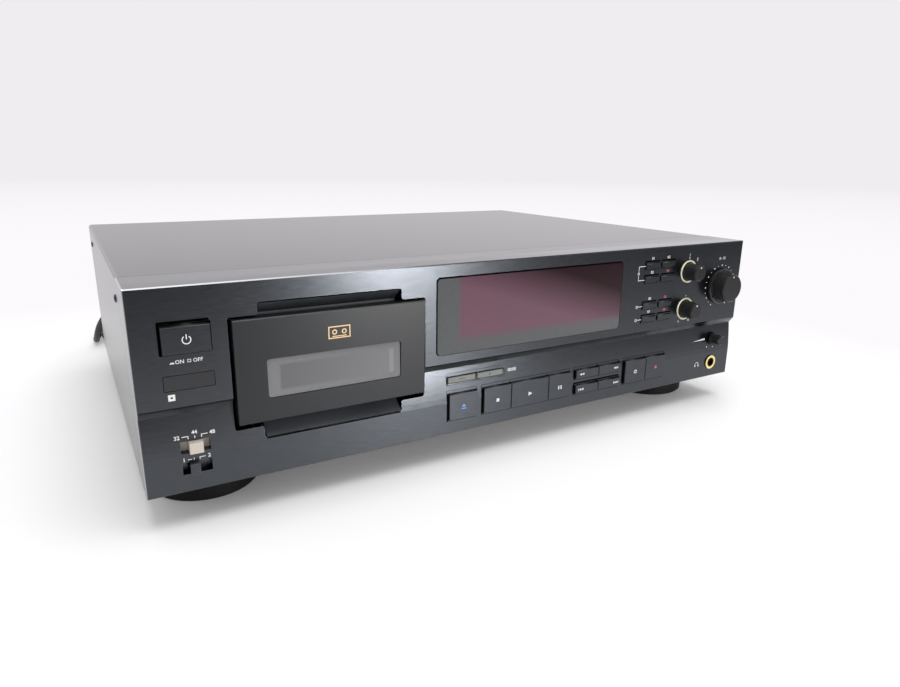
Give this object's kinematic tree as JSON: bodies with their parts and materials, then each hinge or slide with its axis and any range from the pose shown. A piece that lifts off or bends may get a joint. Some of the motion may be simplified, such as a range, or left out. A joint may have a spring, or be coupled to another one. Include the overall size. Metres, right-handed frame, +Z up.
{
  "type": "digital audio tape deck",
  "caption": "Full-width digital audio tape recorder with a sliding cassette tray, transport, keys, knobs, display window and mains lead.",
  "frame": {"origin": "middle of the deck's footprint on the surface it stands on, without the mains lead", "axes": "+X to the right seen from the front, +Y towards the back, +Z up"},
  "size_m": [0.4373, 0.5024, 0.1257],
  "materials": {
    "brushed_face": "brushed, dark",
    "satin_steel": "satin",
    "zinc_steel": "zinc-plated",
    "black_rubber": "matt",
    "key_plastic": "satin",
    "grey_key_plastic": "satin",
    "knob_plastic": "satin",
    "door_plastic": "semi-gloss",
    "smoked_pane": "clear, smoked",
    "red_filter": "polished",
    "infrared_window": "polished",
    "tube_glass": "clear",
    "cream_plastic": "satin",
    "gilt_brass": "polished",
    "board_laminate": "satin",
    "cast_alloy": "machined",
    "white_plastic": "satin",
    "varnished_core": "varnished"
  },
  "bodies": {
    "deck": {"front_fascia": "brushed_face", "top_cover": "satin_steel", "rear_panel": "satin_steel", "bottom_chassis": "zinc_steel", "front_left_foot": "black_rubber", "front_right_foot": "black_rubber", "rear_left_foot": "black_rubber", "rear_right_foot": "black_rubber", "display_window": "red_filter", "display_tube": "tube_glass", "remote_window": "infrared_window", "headphone_socket": "gilt_brass", "control_board": "board_laminate", "main_board": "board_laminate", "power_transformer": "varnished_core", "rear_sockets": "knob_plastic", "mechanism_plate": "zinc_steel", "drum_base": "cast_alloy", "loading_motor": "zinc_steel", "cord_gland": "black_rubber", "mains_cord": "black_rubber", "cord_coil": "black_rubber", "mains_plug": "black_rubber"},
    "tray": {"cassette_tray": "door_plastic", "tray_door": "door_plastic", "door_window": "smoked_pane"},
    "loading_gear": {"loading_gear": "white_plastic"},
    "head_drum": {"head_drum": "cast_alloy"},
    "capstan": {"capstan": "cast_alloy"},
    "supply_reel": {"supply_reel": "white_plastic"},
    "takeup_reel": {"takeup_reel": "white_plastic"},
    "pinch_arm": {"pinch_arm": "zinc_steel"},
    "pinch_roller": {"pinch_roller": "black_rubber"},
    "level_knob": {"level_knob": "knob_plastic"},
    "input_knob": {"input_knob": "knob_plastic"},
    "balance_knob": {"balance_knob": "knob_plastic"},
    "phones_knob": {"phones_knob": "knob_plastic"},
    "sampling_lever": {"sampling_lever": "cream_plastic"},
    "mode_lever": {"mode_lever": "key_plastic"},
    "power_key": {"power_key": "key_plastic"},
    "open_close_key": {"open_close_key": "key_plastic"},
    "stop_key": {"stop_key": "key_plastic"},
    "play_key": {"play_key": "key_plastic"},
    "pause_key": {"pause_key": "key_plastic"},
    "rewind_key": {"rewind_key": "key_plastic"},
    "forward_key": {"forward_key": "key_plastic"},
    "previous_key": {"previous_key": "key_plastic"},
    "next_key": {"next_key": "key_plastic"},
    "record_mute_key": {"record_mute_key": "key_plastic"},
    "record_key": {"record_key": "key_plastic"},
    "counter_mode_key": {"counter_mode_key": "grey_key_plastic"},
    "counter_reset_key": {"counter_reset_key": "grey_key_plastic"},
    "start_auto_key": {"start_auto_key": "key_plastic"},
    "start_renumber_key": {"start_renumber_key": "key_plastic"},
    "start_write_key": {"start_write_key": "key_plastic"},
    "start_erase_key": {"start_erase_key": "key_plastic"},
    "skip_write_key": {"skip_write_key": "key_plastic"},
    "skip_erase_key": {"skip_erase_key": "key_plastic"},
    "end_write_key": {"end_write_key": "key_plastic"},
    "end_erase_key": {"end_erase_key": "key_plastic"}
  },
  "joints": [
    {"name": "tray_slide", "type": "slide", "parent": "deck", "child": "tray", "axis": [0, -1, 0], "range_m": [0, 0.085]},
    {"name": "loading_gear_spin", "type": "hinge", "parent": "deck", "child": "loading_gear", "pos_m": [-0.08705, -0.136, 0.0543], "axis": [0, 0, 1], "range_deg": [-812, 0]},
    {"name": "pinch_arm_swing", "type": "hinge", "parent": "deck", "child": "pinch_arm", "pos_m": [-0.088, -0.055, 0.0543], "axis": [0, 0, 1], "range_deg": [0, 15.1]},
    {"name": "pinch_roller_spin", "type": "hinge", "parent": "pinch_arm", "child": "pinch_roller", "pos_m": [-0.09915, -0.06504, 0.0543], "axis": [0, 0, 1], "continuous": true},
    {"name": "capstan_spin", "type": "hinge", "parent": "deck", "child": "capstan", "pos_m": [-0.092, -0.073, 0.0543], "axis": [0, 0, 1], "continuous": true},
    {"name": "head_drum_spin", "type": "hinge", "parent": "deck", "child": "head_drum", "pos_m": [-0.122, -0.061, 0.0543], "axis": [0.1115, 0, 0.9938], "continuous": true},
    {"name": "supply_reel_spin", "type": "hinge", "parent": "deck", "child": "supply_reel", "pos_m": [-0.1302, -0.121, 0.0543], "axis": [0, 0, 1], "continuous": true},
    {"name": "takeup_reel_spin", "type": "hinge", "parent": "deck", "child": "takeup_reel", "pos_m": [-0.1002, -0.121, 0.0543], "axis": [0, 0, 1], "continuous": true},
    {"name": "level_knob_turn", "type": "hinge", "parent": "deck", "child": "level_knob", "pos_m": [0.1935, -0.161, 0.0923], "axis": [0, -1, 0], "range_deg": [-150, 150]},
    {"name": "input_knob_turn", "type": "hinge", "parent": "deck", "child": "input_knob", "pos_m": [0.1569, -0.161, 0.1062], "axis": [0, -1, 0], "range_deg": [-60, 0]},
    {"name": "balance_knob_turn", "type": "hinge", "parent": "deck", "child": "balance_knob", "pos_m": [0.1569, -0.161, 0.0785], "axis": [0, -1, 0], "range_deg": [-150, 150]},
    {"name": "phones_knob_turn", "type": "hinge", "parent": "deck", "child": "phones_knob", "pos_m": [0.1948, -0.1597, 0.0505], "axis": [0, -1, 0], "range_deg": [-270, 0]},
    {"name": "sampling_lever_slide", "type": "slide", "parent": "deck", "child": "sampling_lever", "axis": [1, 0, 0], "range_m": [-0.003, 0.003]},
    {"name": "mode_lever_slide", "type": "slide", "parent": "deck", "child": "mode_lever", "axis": [1, 0, 0], "range_m": [0, 0.0028]},
    {"name": "power_key_press", "type": "slide", "parent": "deck", "child": "power_key", "axis": [0, 1, 0], "range_m": [0, 0.003], "stiffness_N_per_m": 300},
    {"name": "open_close_key_press", "type": "slide", "parent": "deck", "child": "open_close_key", "axis": [0, 1, 0], "range_m": [0, 0.001], "stiffness_N_per_m": 300},
    {"name": "stop_key_press", "type": "slide", "parent": "deck", "child": "stop_key", "axis": [0, 1, 0], "range_m": [0, 0.001], "stiffness_N_per_m": 300},
    {"name": "play_key_press", "type": "slide", "parent": "deck", "child": "play_key", "axis": [0, 1, 0], "range_m": [0, 0.001], "stiffness_N_per_m": 300},
    {"name": "pause_key_press", "type": "slide", "parent": "deck", "child": "pause_key", "axis": [0, 1, 0], "range_m": [0, 0.001], "stiffness_N_per_m": 300},
    {"name": "rewind_key_press", "type": "slide", "parent": "deck", "child": "rewind_key", "axis": [0, 1, 0], "range_m": [0, 0.001], "stiffness_N_per_m": 300},
    {"name": "forward_key_press", "type": "slide", "parent": "deck", "child": "forward_key", "axis": [0, 1, 0], "range_m": [0, 0.001], "stiffness_N_per_m": 300},
    {"name": "previous_key_press", "type": "slide", "parent": "deck", "child": "previous_key", "axis": [0, 1, 0], "range_m": [0, 0.001], "stiffness_N_per_m": 300},
    {"name": "next_key_press", "type": "slide", "parent": "deck", "child": "next_key", "axis": [0, 1, 0], "range_m": [0, 0.001], "stiffness_N_per_m": 300},
    {"name": "record_mute_key_press", "type": "slide", "parent": "deck", "child": "record_mute_key", "axis": [0, 1, 0], "range_m": [0, 0.001], "stiffness_N_per_m": 300},
    {"name": "record_key_press", "type": "slide", "parent": "deck", "child": "record_key", "axis": [0, 1, 0], "range_m": [0, 0.001], "stiffness_N_per_m": 300},
    {"name": "counter_mode_key_press", "type": "slide", "parent": "deck", "child": "counter_mode_key", "axis": [0, 1, 0], "range_m": [0, 0.001], "stiffness_N_per_m": 300},
    {"name": "counter_reset_key_press", "type": "slide", "parent": "deck", "child": "counter_reset_key", "axis": [0, 1, 0], "range_m": [0, 0.001], "stiffness_N_per_m": 300},
    {"name": "start_auto_key_press", "type": "slide", "parent": "deck", "child": "start_auto_key", "axis": [0, 1, 0], "range_m": [0, 0.001], "stiffness_N_per_m": 300},
    {"name": "start_renumber_key_press", "type": "slide", "parent": "deck", "child": "start_renumber_key", "axis": [0, 1, 0], "range_m": [0, 0.001], "stiffness_N_per_m": 300},
    {"name": "start_write_key_press", "type": "slide", "parent": "deck", "child": "start_write_key", "axis": [0, 1, 0], "range_m": [0, 0.001], "stiffness_N_per_m": 300},
    {"name": "start_erase_key_press", "type": "slide", "parent": "deck", "child": "start_erase_key", "axis": [0, 1, 0], "range_m": [0, 0.001], "stiffness_N_per_m": 300},
    {"name": "skip_write_key_press", "type": "slide", "parent": "deck", "child": "skip_write_key", "axis": [0, 1, 0], "range_m": [0, 0.001], "stiffness_N_per_m": 300},
    {"name": "skip_erase_key_press", "type": "slide", "parent": "deck", "child": "skip_erase_key", "axis": [0, 1, 0], "range_m": [0, 0.001], "stiffness_N_per_m": 300},
    {"name": "end_write_key_press", "type": "slide", "parent": "deck", "child": "end_write_key", "axis": [0, 1, 0], "range_m": [0, 0.001], "stiffness_N_per_m": 300},
    {"name": "end_erase_key_press", "type": "slide", "parent": "deck", "child": "end_erase_key", "axis": [0, 1, 0], "range_m": [0, 0.001], "stiffness_N_per_m": 300}
  ],
  "couplings": [
    {"joint": "loading_gear_spin", "follows": "tray_slide", "rad_per_m": -166.67}
  ]
}
